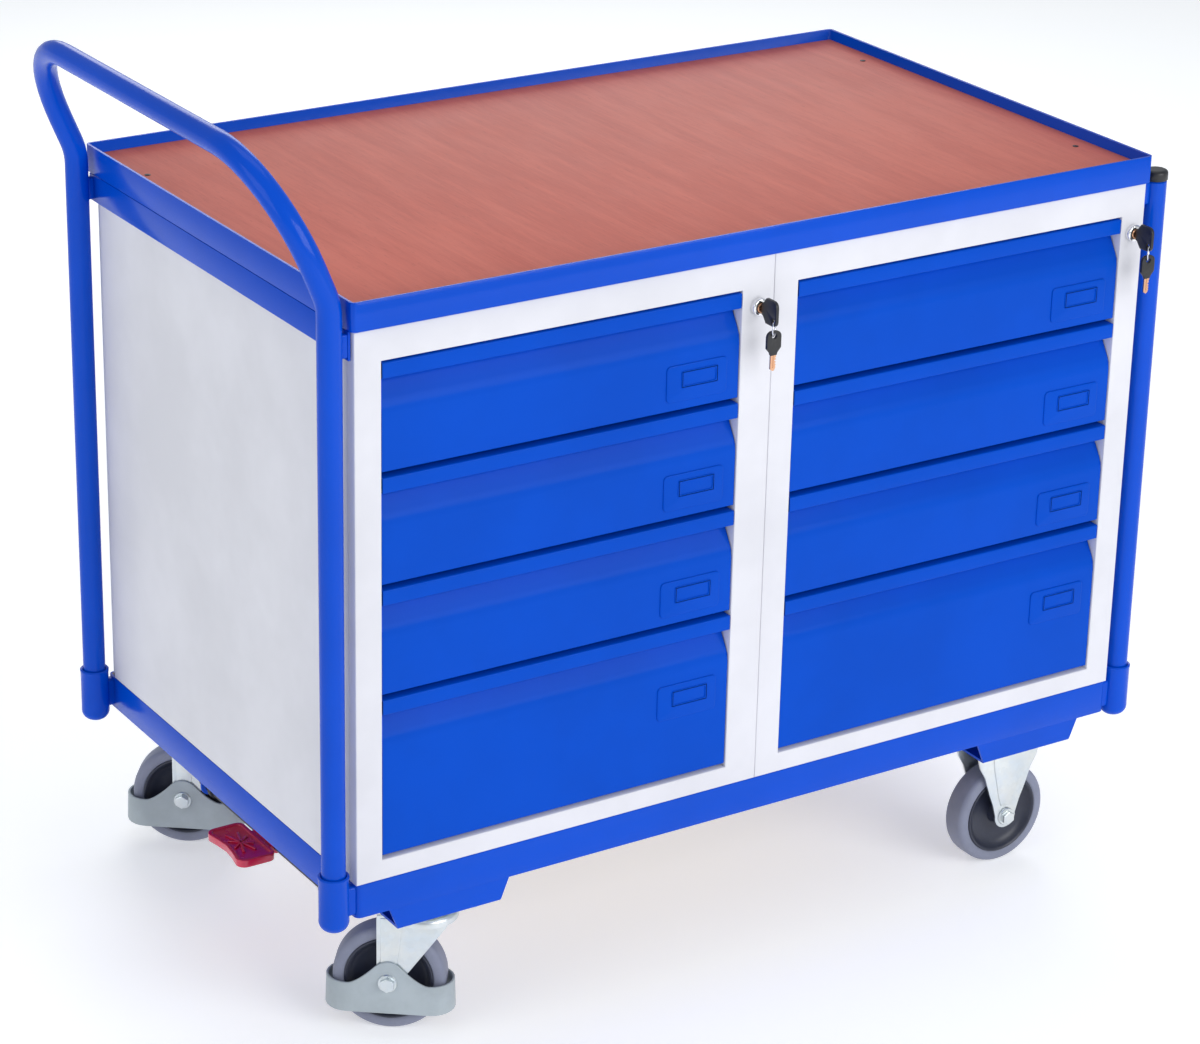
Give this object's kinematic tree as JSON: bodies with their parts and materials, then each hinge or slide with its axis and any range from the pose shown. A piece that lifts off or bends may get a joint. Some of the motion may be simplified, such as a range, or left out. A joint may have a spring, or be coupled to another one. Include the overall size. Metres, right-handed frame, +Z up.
{
  "type": "mobile workbench with drawers",
  "caption": "Wheeled workbench on a welded tube and angle frame: rimmed board top, two lockable steel cabinets of drawers, push handle, swivel and fixed casters, foot brake.",
  "frame": {"origin": "centre of the bounding box on the floor", "axes": "+X along the length, away from the push handle; +Y towards the back, so the drawers open towards -Y; +Z up"},
  "size_m": [1.1455, 0.666, 1.0298],
  "materials": {
    "frame_blue": "glossy powder coat",
    "cabinet_white": "fine textured powder coat",
    "work_top": "beech-coloured decor board",
    "base_board": "plain coated chipboard",
    "zinc": "bright zinc plate",
    "chrome": "polished",
    "brass": "polished",
    "key_black": "satin",
    "cap_black": "satin",
    "wheel_tread": "smooth grey tread",
    "guard_grey": "satin",
    "pedal_red": "satin",
    "shaft_steel": "satin"
  },
  "bodies": {
    "frame": {"base_frame": "frame_blue", "base_board": "base_board", "push_handle": "frame_blue", "end_frame_right": "frame_blue", "post_cap_front": "cap_black", "post_cap_rear": "cap_black", "end_panel_left": "cabinet_white", "end_panel_right": "cabinet_white", "tray_frame": "frame_blue", "work_top": "work_top", "carcass_left": "cabinet_white", "runners_left_left": "zinc", "runners_left_right": "zinc", "lock_cylinder_left": "chrome", "carcass_right": "cabinet_white", "runners_right_left": "zinc", "runners_right_right": "zinc", "lock_cylinder_right": "chrome", "swivel_front_head": "zinc", "swivel_rear_head": "zinc", "fixed_front_fork": "zinc", "fixed_front_axle": "zinc", "fixed_rear_fork": "zinc", "fixed_rear_axle": "zinc"},
    "drawer_left_1": {"drawer_front_left_1": "frame_blue", "drawer_box_left_1": "frame_blue"},
    "drawer_left_2": {"drawer_front_left_2": "frame_blue", "drawer_box_left_2": "frame_blue"},
    "drawer_left_3": {"drawer_front_left_3": "frame_blue", "drawer_box_left_3": "frame_blue"},
    "drawer_left_4": {"drawer_front_left_4": "frame_blue", "drawer_box_left_4": "frame_blue"},
    "plug_left": {"lock_plug_left": "brass"},
    "key_left_set": {"key_left": "key_black"},
    "spare_left_set": {"key_ring_left": "chrome", "spare_key_left": "key_black"},
    "drawer_right_1": {"drawer_front_right_1": "frame_blue", "drawer_box_right_1": "frame_blue"},
    "drawer_right_2": {"drawer_front_right_2": "frame_blue", "drawer_box_right_2": "frame_blue"},
    "drawer_right_3": {"drawer_front_right_3": "frame_blue", "drawer_box_right_3": "frame_blue"},
    "drawer_right_4": {"drawer_front_right_4": "frame_blue", "drawer_box_right_4": "frame_blue"},
    "plug_right": {"lock_plug_right": "brass"},
    "key_right_set": {"key_right": "key_black"},
    "spare_right_set": {"key_ring_right": "chrome", "spare_key_right": "key_black"},
    "swivel_front": {"swivel_front_fork": "zinc", "swivel_front_axle": "zinc", "swivel_front_foot_guard": "guard_grey"},
    "swivel_front_wheel_body": {"swivel_front_wheel": "wheel_tread"},
    "fixed_front_wheel_body": {"fixed_front_wheel": "wheel_tread"},
    "swivel_rear": {"swivel_rear_fork": "zinc", "swivel_rear_axle": "zinc", "swivel_rear_foot_guard": "guard_grey"},
    "swivel_rear_wheel_body": {"swivel_rear_wheel": "wheel_tread"},
    "fixed_rear_wheel_body": {"fixed_rear_wheel": "wheel_tread"},
    "brake": {"brake_shaft": "shaft_steel", "brake_pedal": "pedal_red"}
  },
  "joints": [
    {"name": "drawer_left_1_slide", "type": "slide", "parent": "frame", "child": "drawer_left_1", "axis": [0, -1, 0], "range_m": [0, 0.42]},
    {"name": "drawer_left_2_slide", "type": "slide", "parent": "frame", "child": "drawer_left_2", "axis": [0, -1, 0], "range_m": [0, 0.42]},
    {"name": "drawer_left_3_slide", "type": "slide", "parent": "frame", "child": "drawer_left_3", "axis": [0, -1, 0], "range_m": [0, 0.42]},
    {"name": "drawer_left_4_slide", "type": "slide", "parent": "frame", "child": "drawer_left_4", "axis": [0, -1, 0], "range_m": [0, 0.42]},
    {"name": "lock_left_turn", "type": "hinge", "parent": "frame", "child": "plug_left", "pos_m": [0.00817, -0.29671, 0.7873], "axis": [0, -1, 0], "range_deg": [0, 90]},
    {"name": "key_left_pull", "type": "slide", "parent": "plug_left", "child": "key_left_set", "axis": [0, -1, 0], "range_m": [0, 0.03]},
    {"name": "spare_left_swing", "type": "hinge", "parent": "key_left_set", "child": "spare_left_set", "pos_m": [0.00817, -0.32681, 0.7793], "axis": [-1, 0, 0], "range_deg": [-20, 90]},
    {"name": "drawer_right_1_slide", "type": "slide", "parent": "frame", "child": "drawer_right_1", "axis": [0, -1, 0], "range_m": [0, 0.42]},
    {"name": "drawer_right_2_slide", "type": "slide", "parent": "frame", "child": "drawer_right_2", "axis": [0, -1, 0], "range_m": [0, 0.42]},
    {"name": "drawer_right_3_slide", "type": "slide", "parent": "frame", "child": "drawer_right_3", "axis": [0, -1, 0], "range_m": [0, 0.42]},
    {"name": "drawer_right_4_slide", "type": "slide", "parent": "frame", "child": "drawer_right_4", "axis": [0, -1, 0], "range_m": [0, 0.42]},
    {"name": "lock_right_turn", "type": "hinge", "parent": "frame", "child": "plug_right", "pos_m": [0.51827, -0.29671, 0.7873], "axis": [0, -1, 0], "range_deg": [0, 90]},
    {"name": "key_right_pull", "type": "slide", "parent": "plug_right", "child": "key_right_set", "axis": [0, -1, 0], "range_m": [0, 0.03]},
    {"name": "spare_right_swing", "type": "hinge", "parent": "key_right_set", "child": "spare_right_set", "pos_m": [0.51827, -0.32681, 0.7793], "axis": [-1, 0, 0], "range_deg": [-20, 90]},
    {"name": "swivel_front_turn", "type": "hinge", "parent": "frame", "child": "swivel_front", "pos_m": [-0.36368, -0.24271, 0.14], "axis": [0, 0, 1], "continuous": true},
    {"name": "swivel_front_spin", "type": "hinge", "parent": "swivel_front", "child": "swivel_front_wheel_body", "pos_m": [-0.39403, -0.21984, 0.0625], "axis": [0.6018, 0.7986, 0], "continuous": true},
    {"name": "fixed_front_spin", "type": "hinge", "parent": "frame", "child": "fixed_front_wheel_body", "pos_m": [0.42032, -0.24271, 0.0625], "axis": [0, 1, 0], "continuous": true},
    {"name": "swivel_rear_turn", "type": "hinge", "parent": "frame", "child": "swivel_rear", "pos_m": [-0.36368, 0.25729, 0.14], "axis": [0, 0, 1], "continuous": true},
    {"name": "swivel_rear_spin", "type": "hinge", "parent": "swivel_rear", "child": "swivel_rear_wheel_body", "pos_m": [-0.39403, 0.28016, 0.0625], "axis": [0.6018, 0.7986, 0], "continuous": true},
    {"name": "fixed_rear_spin", "type": "hinge", "parent": "frame", "child": "fixed_rear_wheel_body", "pos_m": [0.42032, 0.25729, 0.0625], "axis": [0, 1, 0], "continuous": true},
    {"name": "brake_turn", "type": "hinge", "parent": "frame", "child": "brake", "pos_m": [-0.42368, 0.00729, 0.131], "axis": [0, -1, 0], "range_deg": [0, 22]}
  ]
}
